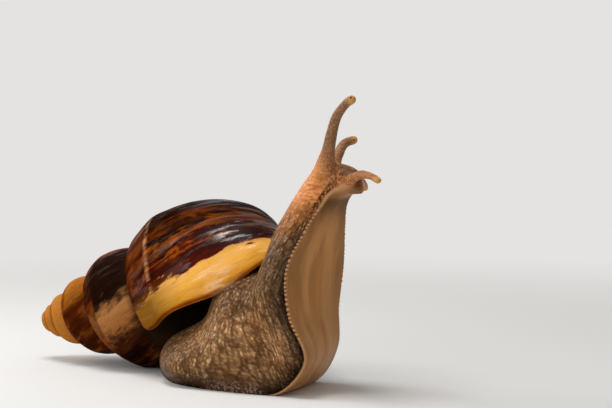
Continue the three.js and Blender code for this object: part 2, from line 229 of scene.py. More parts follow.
def make_piece(name, vertices, quads, triangles, fields, material, slot, *nodes):
    mesh = bpy.data.meshes.new(name)
    mesh.vertices.add(len(vertices))
    mesh.vertices.foreach_set("co", ((vertices + SHIFT) * MM).astype(np.float32).ravel())
    mesh.loops.add(quads.size + triangles.size)
    corners = np.concatenate([quads.ravel(), triangles.ravel()]).astype(np.int32)
    mesh.loops.foreach_set("vertex_index", corners)
    starts = [np.arange(len(quads)) * 4, quads.size + np.arange(len(triangles)) * 3]
    mesh.polygons.add(len(quads) + len(triangles))
    mesh.polygons.foreach_set("loop_start", np.concatenate(starts).astype(np.int32))
    mesh.update(calc_edges=True)
    mesh.shade_smooth()
    for field, values in fields.items():
        flat = values.ndim == 1
        layer = mesh.attributes.new(field, "FLOAT" if flat else "FLOAT_VECTOR", "POINT")
        layer.data.foreach_set("value" if flat else "vector", values.astype(np.float32).ravel())
    mesh.materials.append(material)
    piece = bpy.data.objects.new(name, mesh)
    bpy.context.collection.objects.link(piece)
    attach(piece, "root")
    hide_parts(*nodes)


HASH_PRIMES = (73856093, 19349663, 83492791)  # one for each axis
HASH_MIXERS = (1274126177, 2246822519)  # odd numbers that spread the bits
SEED_STEP = 7919
WORD = 2 ** 32  # the hashes are whole numbers below this


def lumps(q, seed):
    """Smooth random values from -1 to 1: one is hashed from each whole point of q, and between
    the points they are eased along each axis."""
    base = np.floor(q).astype(np.int64)
    f = q - base
    f = f * f * (3 - 2 * f)
    total = np.zeros(len(q))
    for corner in np.ndindex(*(2,) * q.shape[1]):
        drawn = ((base + corner) * HASH_PRIMES[:q.shape[1]]).sum(axis=1) + seed * SEED_STEP
        drawn = (drawn ^ (drawn >> 13)) * HASH_MIXERS[0] % WORD
        drawn = (drawn ^ (drawn >> 16)) * HASH_MIXERS[1] % WORD
        total += np.prod(np.where(corner, f, 1 - f), axis=1) * (2 * drawn / WORD - 1)
    return total


def ease(low, high, x):
    """0 below low, 1 above high, smooth between."""
    f = np.clip((x - low) / (high - low), 0, 1)
    return f * f * (3 - 2 * f)


def whorl_point(angle, around, inset=0.0, share=1.0):
    """A point of the growing tube, mm. An ellipse, leaning a little and kept off the axis, is
    carried round the axis by angle (0 at the lip, negative before it) and scaled by the growth
    ratios to the power of the turns. around is the place on the ellipse, 0 outermost. The angle
    runs ahead by the lip's slant times the sine of around, and near the lip by its bows, each a
    bell over around that fades by the square within BOW_TURN. inset thins the ellipse, share
    shrinks it whole."""
    out = (WHORL_OUT - inset / SHELL_HEIGHT) * share * np.cos(around)
    down = (WHORL_DOWN - inset / SHELL_HEIGHT) * share * np.sin(around)
    radius = WHORL_CENTRE + out * math.cos(WHORL_LEAN) - down * math.sin(WHORL_LEAN)
    depth = 1 - WHORL_DOWN + out * math.sin(WHORL_LEAN) + down * math.cos(WHORL_LEAN)
    r = np.maximum(radius, AXIS_GAP) * SHELL_HEIGHT * WIDTH_GROWTH ** (angle / TURN)
    z = -depth * SHELL_HEIGHT * HEIGHT_GROWTH ** (angle / TURN)
    bow = 0.0
    for forward, at, wide in LIP_BOWS:
        bow = bow + forward * np.exp(-(np.angle(np.exp(1j * (around - at))) / wide) ** 2)
    late = np.clip(1 + np.minimum(angle, 0) / BOW_TURN, 0, None) ** 2
    turned = angle + (LIP_SLANT * np.sin(around) + late * bow) * share
    local = np.stack([r * np.cos(turned), -r * np.sin(turned), z + 0 * turned], axis=-1)
    return local @ SHELL_AXES.T + APEX


# One surface: rows up the outside from the apex to the lip, round its edge, and back inside the
# mouth. The rows stand closer where the whorls are larger, and both ends close in a dome.
TURN_STARTS = np.array([-WHORLS, -5, -4, -3, -2, -1, 0])
ROWS_BEFORE = [0, 34, 90, 170, 290, 470, 739]  # rows laid before each of these turns
EDGE_ROWS, INNER_ROWS, INNER_CROWD = 8, 90, 1.15
APEX_DOME, INNER_DOME, LEAST_DOME = 1.6, 0.7, 0.02  # radians of growth, and least share
outer = np.interp(np.arange(ROWS_BEFORE[-1] + 1), ROWS_BEFORE, TURN_STARTS) * TURN
bend = np.linspace(0, math.pi, EDGE_ROWS)[1:-1]
inner = -np.linspace(0, 1, INNER_ROWS) ** INNER_CROWD * HOLLOW_TURN * TURN
angle = np.concatenate([outer, LIP_EDGE / LIP_RADIUS * np.sin(bend), inner])
inset = np.concatenate([
    0 * outer, LIP_EDGE * (1 - np.cos(bend)), 2 * LIP_EDGE + WALL_GAIN * np.minimum(-inner, 1),
])
start = np.clip((outer - outer[0]) / APEX_DOME, 0, 1)
end = np.clip((inner - inner[-1]) / INNER_DOME, 0, 1)
full = np.concatenate([start, 1 + 0 * bend, end])
dome = np.sqrt(np.maximum(1 - (1 - full) ** 2, LEAST_DOME ** 2))
side = np.concatenate([0 * outer, np.linspace(0, 1, len(bend)), 1 + 0 * inner])
# The points of the section crowd on its outer side, which shows.
SECTION_POINTS, SECTION_CROWD = 110, 0.35
turn = np.linspace(-math.pi, math.pi, SECTION_POINTS, endpoint=False)
around = turn - SECTION_CROWD * np.sin(turn)
rows_back = np.broadcast_to(-angle[:, None], (len(angle), len(around)))
rows_around = np.broadcast_to(around[None], rows_back.shape)
grown = HEIGHT_GROWTH ** (-rows_back / TURN)
flow = np.stack([rows_back.ravel(), rows_around.ravel() * LINE_SLIP], axis=1)
lines = sum(high * lumps(flow / apart, seed) for high, apart, seed in GROWTH_LINES)
ridge = RIDGE_HEIGHT * np.exp(-((rows_around - SHOULDER) / RIDGE_WIDE) ** 2)
ridge -= FURROW_DEPTH * np.exp(-((rows_around - FURROW_AT) / FURROW_WIDE) ** 2)
relief = (lines.reshape(rows_back.shape) + ridge) * grown * (1 - side[:, None])
rows = whorl_point(angle[:, None], around[None], inset[:, None] - relief, dome[:, None])
rows[..., 2] = np.maximum(rows[..., 2], FLOOR)
vertices, quads, triangles = closed_grid(
    rows, whorl_point(outer[0], 0.0, 0.0, 0.0), whorl_point(inner[-1], 0.0, 0.0, 0.0),
)
# The part of the second whorl on which the mouth opens is painted dark, as painted shade in the
# hollow of the mouth. A point's angle in the growing tube follows from its slant and its depth,
# and the depth from the angle, so a few rounds find both. Its reach is then 0 in the middle of the
# tube and 1 at the wall.
HOLLOW_SHADE_FADE = (0.95, 1.12)  # reach between which the painted shade fades
HOLLOW_SHADE_AHEAD, HOLLOW_SHADE_LOSS = (0.3, 1.4), 0.35  # radians past the lip, and the reach added there
HOLLOW_SHADE_BACK = 0.6  # turns back from the lip before a whorl can lie in the mouth
SOLVE_ROUNDS = 4
FAR_OUT = 9.0  # a reach that stays clear of the glaze
local = (rows - APEX) @ SHELL_AXES
spun = np.arctan2(-local[..., 1], local[..., 0])
best = np.full(spun.shape, FAR_OUT)
for wrap in (0, -TURN):
    angle_here = spun + wrap
    for _ in range(SOLVE_ROUNDS):
        whorl_height = SHELL_HEIGHT * HEIGHT_GROWTH ** (angle_here / TURN)
        across_here = -local[..., 2] / whorl_height - 1 + WHORL_DOWN
        angle_here = spun + wrap - LIP_SLANT * np.clip(across_here / WHORL_DOWN, -1, 1)
    size = SHELL_HEIGHT * WIDTH_GROWTH ** (angle_here / TURN)
    out = np.hypot(local[..., 0], local[..., 1]) / size - WHORL_CENTRE
    reach = np.sqrt((out / WHORL_OUT) ** 2 + (across_here / WHORL_DOWN) ** 2)
    reach += HOLLOW_SHADE_LOSS * ease(*HOLLOW_SHADE_AHEAD, angle_here)
    reach += FAR_OUT * (angle_here < -HOLLOW_TURN * TURN)
    best = np.minimum(best, reach)
hollow_shade = (1 - ease(*HOLLOW_SHADE_FADE, best)) * (rows_back > HOLLOW_SHADE_BACK * TURN)

# What the finish reads: turns back from the lip, place on the section, painted shade in the mouth and inner
# side.
ends = [0, -1]  # the closing points at the apex and in the hollow take the nearest values
shell_fields = {}
for field, values in (
    ("back", np.abs(rows_back) / TURN), ("across", rows_around), ("hollow_shade", hollow_shade),
    ("inside", side[:, None] + 0 * grown),
):
    values = values.ravel()
    shell_fields[field] = np.concatenate([values, values[ends]])

# Lime laid down in layers under a film of horn, so it is glossy where it is young and worn dull
# where it is old. To the eye it is amber crossed by red-brown flames, with a golden band of this
# year's growth. Its marks are noises drawn out along the lip, each with a size in mm, since a
# radian of growth is LIP_RADIUS long at the lip. The scale is kept to one decimal. The finest
# growth lines can't show, so they are drawn about 0.5 mm apart.
YOUNG_TURNS, OLD_TURNS = 0.26, 3.0  # turns back from the lip that the two ramps of tints span
shell_lime = bpy.data.materials.new("shell_lime")
tree = new_tree(shell_lime)
fields = {}
for name in shell_fields:
    fields[name] = add(tree, "Attribute", {}, out=2, attribute_name=name)
back, across = fields["back"], fields["across"]
round_way = add(tree, "Math", {0: back, 1: TURN}, operation="MULTIPLY")
grain = {}
for name, squeeze, size, detail in (
    ("ragged", 0.2, 2.67, 5.0), ("flames", 0.22, 6.0, 4.0), ("blots", 0.45, 9.2, 4.0),
    ("lines", 0.05, 0.48, 3.0), ("threads", 0.05, 0.1714, 2.0), ("worn", 0.16, 2.18, 4.0),
):
    scale = round(LIP_RADIUS / size, 1)
    drift = add(tree, "Math", {0: across, 1: squeeze}, operation="MULTIPLY")
    flow = add(tree, "CombineXYZ", {0: round_way, 1: drift, 2: scale})
    grain[name] = add(tree, "TexNoise", {
        "Vector": flow, "Scale": scale, "Detail": detail, "Roughness": 0.66,
    })

# The tint of each season's growth, by the turns back from the lip, with ragged borders.
in_gold = add(tree, "MapRange", {0: back, 1: 0.065, 2: 0.04})
not_gold = add(tree, "MapRange", {0: in_gold, 3: 1.0, 4: 0.0})
jag = {0: grain["ragged"], 1: 0.25, 2: 0.75, 3: -0.017, 4: 0.017}
jag = add(tree, "MapRange", jag, clamp=False)
sway = {0: grain["blots"], 1: 0.3, 2: 0.7, 3: -0.022, 4: 0.022}
sway = add(tree, "MapRange", sway, clamp=False)
sway = add(tree, "Mix", {0: in_gold, 2: sway, 3: 0.0})
age = add(tree, "Math", {0: back, 1: jag}, operation="ADD")
age = add(tree, "Math", {0: age, 1: sway}, operation="ADD")
last_season = add(tree, "Math", {0: age, 1: YOUNG_TURNS}, operation="DIVIDE")
# The dark rim near the top of the body whorl, in the last stops, is darker than the shell's own tint, as
# painted shade.
young = add(tree, "ValToRGB", {0: last_season}, stops=[
    (0.00, "#a86a1a"), (0.04, "#d8942e"), (0.10, "#f4b24a"), (0.165, "#f4b45c"), (0.185, "#521306"),
    (0.24, "#2e0a04"), (0.30, "#4c1605"), (0.325, "#a64c08"), (0.345, "#581c04"), (0.37, "#220703"),
    (0.40, "#300b04"), (0.425, "#9e4a08"), (0.49, "#ac560c"), (0.515, "#120402"), (0.545, "#120402"),
    (0.57, "#9c4808"), (0.64, "#742e04"), (0.70, "#1c0703"), (0.90, "#120402"), (1.0, "#1c0703"),
])
# From 0.15 to 0.29 the older ramp is darker than the shell's own brown, as painted shade under the body
# whorl.
older = add(tree, "Math", {0: age, 1: OLD_TURNS}, operation="DIVIDE")
old = add(tree, "ValToRGB", {0: older}, stops=[
    (0.0, "#1c0703"), (0.15, "#280c04"), (0.29, "#2c1006"), (0.314, "#3a1c0c"),
    (0.322, "#a86c3a"), (0.340, "#ba804c"), (0.349, "#1c0b06"), (0.40, "#241009"),
    (0.408, "#8a3c0a"), (0.425, "#2a0e05"), (0.44, "#843a08"), (0.60, "#562006"),
    (0.64, "#461a05"), (0.685, "#5e2607"), (0.70, "#b46c20"), (0.85, "#b06a26"),
    (1.0, "#bc7830"),
])
pick = add(tree, "MapRange", {0: age, 1: YOUNG_TURNS - 0.01, 2: YOUNG_TURNS + 0.01})
tint = add(tree, "Mix", {0: pick, 6: young, 7: old}, out=2, data_type="RGBA")
flame = add(tree, "ValToRGB", {0: grain["flames"]}, stops=[
    (0.36, "#140402"), (0.45, "#3e1404"), (0.53, "#7c3606"), (0.60, "#b4661a"), (0.69, "#d0903a"),
])
flamed = add(tree, "ValToRGB", {0: older}, stops=[
    (0.0, "#000000"), (0.02, "#000000"), (0.03, "#808080"), (0.085, "#808080"), (0.11, "#e0e0e0"),
    (0.29, "#d0d0d0"), (0.31, "#303030"), (0.345, "#101010"), (0.41, "#181818"), (0.44, "#a0a0a0"),
    (0.69, "#909090"), (0.72, "#484848"), (1.0, "#383838"),
])
tint = add(tree, "Mix", {0: flamed, 6: tint, 7: flame}, out=2, data_type="RGBA")
# The back and underside of the body whorl are darker than the flames on its side, partly a duller
# tint and partly painted shade; the third whorl is darkened too, less.
dull_and_shade = add(tree, "ValToRGB", {0: older}, stops=[
    (0.03, "#ffffff"), (0.06, "#989898"), (0.3, "#949494"), (0.31, "#f4f4f4"), (0.41, "#f4f4f4"),
    (0.44, "#cccccc"), (0.70, "#dcdcdc"), (0.74, "#ffffff"), (1.0, "#ffffff"),
])
tint = add(tree, "Mix", {0: 1.0, 6: tint, 7: dull_and_shade}, out=2, data_type="RGBA", blend_type="MULTIPLY")
# Dark blots break the flames up, but not the gold, and towards the base of its section the body whorl is
# darkened as painted shade.
blots_and_shade = add(tree, "MapRange", {0: grain["blots"], 1: 0.5, 2: 0.6, 3: 0.0, 4: 0.8})
painted_shade_toward_axis = add(tree, "MapRange", {0: across, 1: 0.0, 2: 0.6, 3: 0.0, 4: 0.7})
blots_and_shade = add(tree, "Math", {0: blots_and_shade, 1: painted_shade_toward_axis}, operation="MAXIMUM")
blots_and_shade = add(tree, "Math", {0: blots_and_shade, 1: not_gold}, operation="MULTIPLY")
last_whorl = add(tree, "MapRange", {0: age, 1: 0.95, 2: 0.85})
blots_and_shade = add(tree, "Math", {0: blots_and_shade, 1: last_whorl}, operation="MULTIPLY")
tint = add(tree, "Mix", {0: blots_and_shade, 6: tint, 7: linear("#190603")}, out=2, data_type="RGBA")
streak = add(tree, "ValToRGB", {0: grain["lines"]}, stops=[
    (0.3, "#9a8672"), (0.5, "#f4f0ea"), (0.8, "#ffffff"),
])
streaky = add(tree, "MapRange", {0: in_gold, 3: 0.6, 4: 0.25})
tint = add(tree, "Mix", {0: streaky, 6: tint, 7: streak}, out=2, data_type="RGBA", blend_type="MULTIPLY")
# Below the seam the flames sink into a plainer brown, edged by a pale broken line, and the gold
# darkens towards its lower corner as painted shade.
below = add(tree, "MapRange", {0: across, 1: SHOULDER - 0.14, 2: SHOULDER - 0.02, 3: 0.65, 4: 0.0})
below = add(tree, "Math", {0: below, 1: not_gold}, operation="MULTIPLY")
plain = add(tree, "ValToRGB", {0: grain["flames"]}, stops=[
    (0.38, "#220903"), (0.52, "#501e05"), (0.7, "#8a4409"),
])
tint = add(tree, "Mix", {0: below, 6: tint, 7: plain}, out=2, data_type="RGBA")
gold_painted_shade = add(tree, "MapRange", {0: across, 1: SHOULDER - 0.1, 2: SHOULDER + 0.4, 3: 0.92, 4: 0.0})
gold_painted_shade = add(tree, "Math", {0: gold_painted_shade, 1: in_gold}, operation="MULTIPLY")
tint = add(tree, "Mix", {0: gold_painted_shade, 6: tint, 7: linear("#784a0a")}, out=2, data_type="RGBA")
# The pale line is partly the shell's own tint and partly a painted highlight on the ridge.
pale_line_and_highlight = add(tree, "Math", {0: across, 1: SHOULDER}, operation="SUBTRACT")
pale_line_and_highlight = add(tree, "Math", {0: pale_line_and_highlight}, operation="ABSOLUTE")
pale_line_and_highlight = add(tree, "MapRange", {0: pale_line_and_highlight, 1: 0.0, 2: 0.05, 3: 0.7, 4: 0.0})
broken = add(tree, "MapRange", {0: grain["ragged"], 1: 0.44, 2: 0.58})
recent = add(tree, "MapRange", {0: back, 1: 0.4, 2: 0.15})
broken = add(tree, "Math", {0: broken, 1: recent}, operation="MULTIPLY")
broken = add(tree, "Math", {0: broken, 1: not_gold}, operation="MULTIPLY")
pale_line_and_highlight = add(tree, "Math", {0: pale_line_and_highlight, 1: broken}, operation="MULTIPLY")
tint = add(tree, "Mix", {0: pale_line_and_highlight, 6: tint, 7: linear("#d0946a")}, out=2, data_type="RGBA")
# The brown edge of the lip; painted shade on the wall in the mouth, and darkening the nacre inside.
lip = add(tree, "ValToRGB", {0: round_way}, stops=[
    (0.0, "#a0763c"), (0.012, "#d4aa6a"), (0.035, "#ffffff"),
])
tint = add(tree, "Mix", {0: 1.0, 6: tint, 7: lip}, out=2, data_type="RGBA", blend_type="MULTIPLY")
tint = add(tree, "Mix", {0: fields["hollow_shade"], 6: tint, 7: linear("#24180b")}, out=2, data_type="RGBA")
nacre_and_shade = add(tree, "ValToRGB", {0: back}, stops=[
    (0.0, "#8a5c20"), (0.012, "#5c401a"), (0.05, "#241a10"), (0.15, "#120c08"),
])
tint = add(tree, "Mix", {0: fields["inside"], 6: tint, 7: nacre_and_shade}, out=2, data_type="RGBA")

# Fine relief, and a gloss that is broken where the skin is worn, and dull on the older whorls,
# below the seam, on the wall painted dark in the mouth and inside.
height = {0: grain["threads"], 1: 0.35, 2: grain["lines"]}
height = add(tree, "Math", height, operation="MULTIPLY_ADD")
bump = add(tree, "Bump", {"Strength": 0.4, "Distance": 0.12 * MM, "Height": height})
rough = add(tree, "MapRange", {0: grain["worn"], 1: 0.38, 2: 0.6, 3: 0.15, 4: 0.4})
sheen = add(tree, "MapRange", {0: grain["worn"], 1: 0.40, 2: 0.5, 3: 0.8, 4: 0.04})
matt = add(tree, "MapRange", {0: back, 1: 0.08, 2: 0.135, 3: 1.0, 4: 0.06})
sheen = add(tree, "Math", {0: sheen, 1: matt}, operation="MULTIPLY")
matt = add(tree, "MapRange", {0: across, 1: SHOULDER + 0.1, 2: 0.3, 3: 0.1, 4: 1.0})
sheen = add(tree, "Math", {0: sheen, 1: matt}, operation="MULTIPLY")
closed = add(tree, "Math", {0: fields["hollow_shade"], 1: fields["inside"]}, operation="MAXIMUM")
closed = add(tree, "MapRange", {0: closed, 3: 1.0, 4: 0.25})
sheen = add(tree, "Math", {0: sheen, 1: closed}, operation="MULTIPLY")
shader = add(tree, "BsdfPrincipled", {
    "Base Color": tint, "Roughness": rough, "Normal": bump, "IOR": 1.45, "Specular IOR Level": sheen,
})
add(tree, "OutputMaterial", {0: shader})

make_piece(
    "shell_whorls", vertices, quads, triangles, shell_fields, shell_lime, "shell", "shell",
)

# ---------------------------------------------------------------------------------------------
# The flesh: one wet, muscular skin over foot, neck, head and feelers. The parts are swept one by
# one, joined into a single surface, and smoothed where they flow into one another.
# ---------------------------------------------------------------------------------------------
SKIN_STEP = 0.316  # mesh size, mm
CORNER = 0.8  # power that squares the foot's rounded section
CRIMP = 1.05  # pitch of the teeth along the edge of the sole, mm
BULGE_FALL = 1.25  # the flanks bulge most below the middle of the back
MOUTH_AT, MOUTH_SIZE = (31.6, -1.0, 51.4), 2.3
FAR_OFF = 99.0  # a distance past any on the animal

# Columns: middle of the sole x, y, z, then yaw and pitch in degrees, half width of the sole,
# height of the back over it, swell of the sole, and how far the flanks bulge past the sole.
FOOT_AND_NECK = np.array([
    [-25.2, -5.0, 6.8, 8, 0, 0.4, 0.4, 0.4, 0.0],
    [-23.6, -4.6, 3.0, 8, 0, 3.0, 8.5, 0.5, 0.9],
    [-18.6, -3.8, 0.7, 8, 0, 5.2, 13.5, 0.5, 1.2],
    [-8.0, -2.2, 0.5, 8, 0, 10.2, 18.0, 0.5, 0.4],
    [3.0, -0.6, 0.5, 10, 2, 11.8, 15.0, 0.5, 0.24],
    [13.2, 0.6, 2.0, 14, 32, 12.0, 10.5, 0.5, 0.14],
    [19.6, 0.8, 10.4, 18, 82, 12.6, 12.0, 0.6, 0.08],
    [18.0, 0.0, 20.5, 7, 94, 12.2, 17.5, 0.6, 0.04],
    [18.3, 0.0, 31.0, 0, 86, 11.6, 12.6, 0.6, 0.0],
    [21.0, 0.0, 40.0, 0, 75, 8.2, 11.1, 0.6, 0.0],
    [23.6, 0.0, 46.0, 0, 64, 5.3, 9.7, 0.6, 0.0],
    [26.2, 0.0, 49.4, 0, 42, 4.8, 4.6, 0.9, 0.0],
    [29.4, 0.0, 51.0, 0, 10, 4.2, 1.2, 2.3, 0.0],
    [31.5, 0.0, 49.9, 0, 0, 0.9, 0.5, 0.9, 0.0],
])
# Round limbs: x, y, z and radius.
HEAD = np.array([
    [16.4, 0, 42.0, 1.0], [18.6, 0, 46.8, 5.2], [22.7, 0, 51.3, 4.8],
    [28.0, 0, 52.4, 3.5], [30.4, 0, 52.9, 2.4], [31.5, 0, 52.9, 2.0],
])
MOUTH = np.array([
    [27.6, 0, 50.6, 0.6], [29.6, 0, 51.0, 1.6], [31.0, 0, 51.2, 1.5], [31.8, 0, 51.2, 1.3],
])
TRUNK = np.array([
    [3, 0, 2, 6.0], [2.5, -0.5, 9, 14.8], [0.2, 0.9, 17.2, 12.9],
    [-4.3, 4.3, 24.2, 9.8], [-6.4, 5.2, 31, 6.6], [-8, 4.8, 36, 5.0],
])
BELLY = np.array([
    [-12, -2.0, 8.0, 6.0], [-6, -1.4, 9.5, 11.5], [2, -0.4, 10.5, 14.4],
    [9, 0.2, 11.0, 14.2], [14, 0.6, 12.0, 11.0],
])
FEELERS = {
    "upper_right": np.array([
        [20.4, -1.8, 47.4, 4.5], [22.9, -3.3, 53.2, 3.5], [25.2, -4.8, 58.6, 1.85],
        [27.2, -6.1, 63.2, 1.35], [29.5, -7.4, 67.2, 1.2], [32.5, -8.4, 70.0, 1.05],
        [34.6, -8.9, 71.2, 1.1], [35.9, -9.1, 71.2, 1.15],
    ]),
    "upper_left": np.array([
        [21.8, 2.2, 48.6, 2.8], [21.2, 3.8, 54.0, 2.0], [20.7, 5.8, 57.6, 1.35],
        [20.5, 8.4, 60.1, 1.15], [21.1, 11.0, 61.0, 1.1], [21.8, 12.3, 61.0, 1.15],
    ]),
    "lower_right": np.array([
        [26.6, -1.8, 51.6, 2.4], [30.8, -3.4, 52.7, 1.7], [34.8, -5.2, 53.9, 1.15],
        [38.4, -6.6, 53.8, 0.85], [41.1, -7.6, 53.0, 0.85], [41.9, -8.0, 52.4, 0.85],
    ]),
    "lower_left": np.array([
        [26.6, 1.6, 51.4, 2.0], [28.2, 3.8, 51.4, 1.5], [28.2, 5.6, 50.8, 1.0],
        [27.6, 7.0, 50.1, 0.85], [27.1, 7.8, 49.5, 0.85],
    ]),
}


def blend(rows, t):
    """Rows blended by a Catmull-Rom curve; t from 0 at the first row to 1 at the last."""
    last = len(rows) - 1
    s = np.clip(np.asarray(t, float), 0, 1) * last
    i = np.minimum(s.astype(int), last - 1)
    f = (s - i)[..., None]
    padded = np.vstack([2 * rows[0] - rows[1], rows, 2 * rows[-1] - rows[-2]])
    a, b, d, e = (padded[i + k] for k in range(4))
    return b + 0.5 * f * (d - a + f * (2 * a - 5 * b + 4 * d - e + f * (3 * (b - d) + e - a)))


TIP_CROWD = 1.7  # power by which a limb's rings stand closer towards its tip
LEAST_RING = 0.05  # the last ring's radius, as a share of the limb's
ASIDE = (0.3, 1, 0.1)  # a way that no limb runs, to turn the rings by
NEARBY = 0.01  # how far before and after a place the limb's way is read, as a share of it


def limb_surface(rows, along, around):
    """Circles carried along the limb's middle line, across the way it runs there, and closed by
    a dome at the tip: there a ring's radius is the limb's times the root of one less the square
    of how far the tip's full radius has been entered."""
    t = 1 - (1 - np.linspace(0, 1, along)) ** TIP_CROWD
    here, before, after = blend(rows, t), blend(rows, t - NEARBY), blend(rows, t + NEARBY)
    way = after[:, :3] - before[:, :3]
    way /= np.linalg.norm(way, axis=-1, keepdims=True)
    side = np.cross(way, ASIDE)
    side /= np.linalg.norm(side, axis=-1, keepdims=True)
    full = here[:, 3]
    short = np.maximum(1 - np.linalg.norm(here[:, :3] - rows[-1, :3], axis=-1) / full, 0)
    radius = full * np.sqrt(np.maximum(1 - short ** 2, LEAST_RING ** 2))
    a = TURN * np.arange(around)[None, :, None] / around
    ring = side[:, None] * np.cos(a) + np.cross(way, side)[:, None] * np.sin(a)
    return closed_grid(here[:, None, :3] + ring * radius[:, None, None], rows[0, :3], rows[-1, :3])


# The foot: a rounded rectangle over the line of the sole, its flanks bulging at mid height, with
# a thin rim along the edge of the sole and a furrow above the rim. On each section the way out is
# the cosine and the way up the sine of a full turn, both to the power CORNER, times half the width
# and the height. Rim and furrow are bells over the height, and fade where the section is low.
FOOT_ROWS, FOOT_POINTS = 420, 200
RIM_OUT, RIM_AT, RIM_WIDE = 0.45, 0.2, 0.7  # mm out, height over the sole's edge, half width
GROOVE_IN, GROOVE_AT, GROOVE_WIDE = 0.7, 2.0, 0.9  # mm in, and the same of the furrow
t = np.linspace(0, 1, FOOT_ROWS)[:, None]
a = TURN * np.arange(FOOT_POINTS)[None] / FOOT_POINTS
stations = blend(FOOT_AND_NECK, t + 0 * a)
yaw, pitch = np.radians(stations[..., 3]), np.radians(stations[..., 4])
half, back, swell, flank = (stations[..., k] for k in (5, 6, 7, 8))
right = np.stack([np.sin(yaw), -np.cos(yaw), 0 * yaw], axis=-1)
up = np.stack([-np.sin(pitch) * np.cos(yaw), -np.sin(pitch) * np.sin(yaw), np.cos(pitch)], axis=-1)
rise = np.where(np.sin(a) > 0, back * np.abs(np.sin(a)) ** CORNER, swell * np.sin(a))
height = BULGE_FALL * np.maximum(rise, 0) / np.maximum(back, 0.1)
bulge = 1 + flank * np.sin(math.pi * np.minimum(height, 1))
side = -half * np.sign(np.cos(a)) * np.abs(np.cos(a)) ** CORNER * bulge
rim = RIM_OUT * np.exp(-((rise - RIM_AT) / RIM_WIDE) ** 2)
rim -= GROOVE_IN * np.exp(-((rise - GROOVE_AT) / GROOVE_WIDE) ** 2)
rim *= np.clip((back - 1.0) / 3.0, 0, 1) * np.clip(np.abs(np.cos(a)) * 3, 0, 1)
side = side - np.sign(np.cos(a)) * rim
rows = stations[..., :3] + right * side[..., None] + up * rise[..., None]
foot = closed_grid(rows, rows[0].mean(axis=0), rows[-1].mean(axis=0))

# On it, the distance from the edge of the sole (more than 0 up the flank, less on the sole) and
# the way along that edge.
step = np.linalg.norm(np.roll(rows, -1, axis=1) - rows, axis=-1)
reach = np.cumsum(step, axis=1) - step
girth = step.sum(axis=1, keepdims=True)
half_round = FOOT_POINTS // 2
middle = reach[:, half_round][:, None]
from_edge = np.minimum(np.minimum(reach, girth - reach), np.abs(reach - middle))
from_edge *= np.where(np.sin(a) > 0, 1, -1)
edge_line = np.where((np.cos(a) > 0)[..., None], rows[:, :1], rows[:, half_round][:, None])
edge_step = np.diff(edge_line, axis=0, prepend=edge_line[:1])
edge_way = np.cumsum(np.linalg.norm(edge_step, axis=-1), axis=0)

# One skin over all the parts together, in even quads.
parts = [  # each limb with its rows along and points around
    foot, limb_surface(TRUNK, 90, 120), limb_surface(BELLY, 90, 120), limb_surface(HEAD, 60, 80),
    limb_surface(MOUTH, 30, 48), limb_surface(FEELERS["upper_right"], 110, 40),
    limb_surface(FEELERS["upper_left"], 80, 40), limb_surface(FEELERS["lower_right"], 80, 32),
    limb_surface(FEELERS["lower_left"], 60, 32),
]
faces, count = [], 0
for vertices, quads, triangles in parts:
    faces += (quads + count).tolist() + (triangles + count).tolist()
    count += len(vertices)
mesh = bpy.data.meshes.new("flesh_parts")
mesh.from_pydata(np.concatenate([part[0] for part in parts]).tolist(), [], faces)
joined = bpy.data.objects.new("flesh_parts", mesh)
bpy.context.collection.objects.link(joined)
remesh = joined.modifiers.new("one_skin", "REMESH")
remesh.mode = "VOXEL"
remesh.voxel_size = SKIN_STEP
result = joined.evaluated_get(bpy.context.evaluated_depsgraph_get()).to_mesh()
skin = np.empty(len(result.vertices) * 3)
result.vertices.foreach_get("co", skin)
skin = skin.reshape(-1, 3)
quads = np.empty(len(result.loops), dtype=int)
result.loops.foreach_get("vertex_index", quads)
quads = quads.reshape(-1, 4)
bpy.data.objects.remove(joined)
bpy.data.meshes.remove(mesh)

ends = np.concatenate([quads[:, [k, (k + 1) % 4]] for k in range(4)])
neighbours = np.bincount(ends[:, 0], minlength=len(skin)).astype(float)


def smoothed(points, weight, rounds):
    """Each point drawn towards the mean of its neighbours by weight, over and over."""
    for _ in range(rounds):
        total = [np.bincount(ends[:, 0], points[ends[:, 1], k], len(points)) for k in range(3)]
        mean = np.stack(total, axis=1) / neighbours[:, None]
        points = points + weight[:, None] * (mean - points)
    return points


AT_CORNER = 0.001  # keeps the weight of a corner that a point falls on within bounds, mm2


def near_foot(points):
    """The two fields of the foot's grid at the nearest place of its surface, as the mean of the
    face's corners weighted by one over the square of their distance, and how far off it is."""
    tree = BVHTree.FromPolygons(foot[0].tolist(), foot[1].tolist())
    found = [tree.find_nearest(point) for point in points.tolist()]
    face = foot[1][[f[2] for f in found]]
    at = np.array([f[0] for f in found])
    near = 1 / (((foot[0][face] - at[:, None]) ** 2).sum(axis=-1) + AT_CORNER)
    near /= near.sum(axis=1, keepdims=True)
    values = [(field.ravel()[face] * near).sum(axis=1) for field in (from_edge, edge_way)]
    return *values, np.array([f[3] for f in found])


STRONG_PULL, LIGHT_PULL, LIGHT_ROUNDS = 0.6, 0.5, 3  # shares of the way to the mean, each round
skin = smoothed(skin, np.full(len(skin), LIGHT_PULL), LIGHT_ROUNDS)
edge, way, off_foot = near_foot(skin)
x, y, z = skin.T

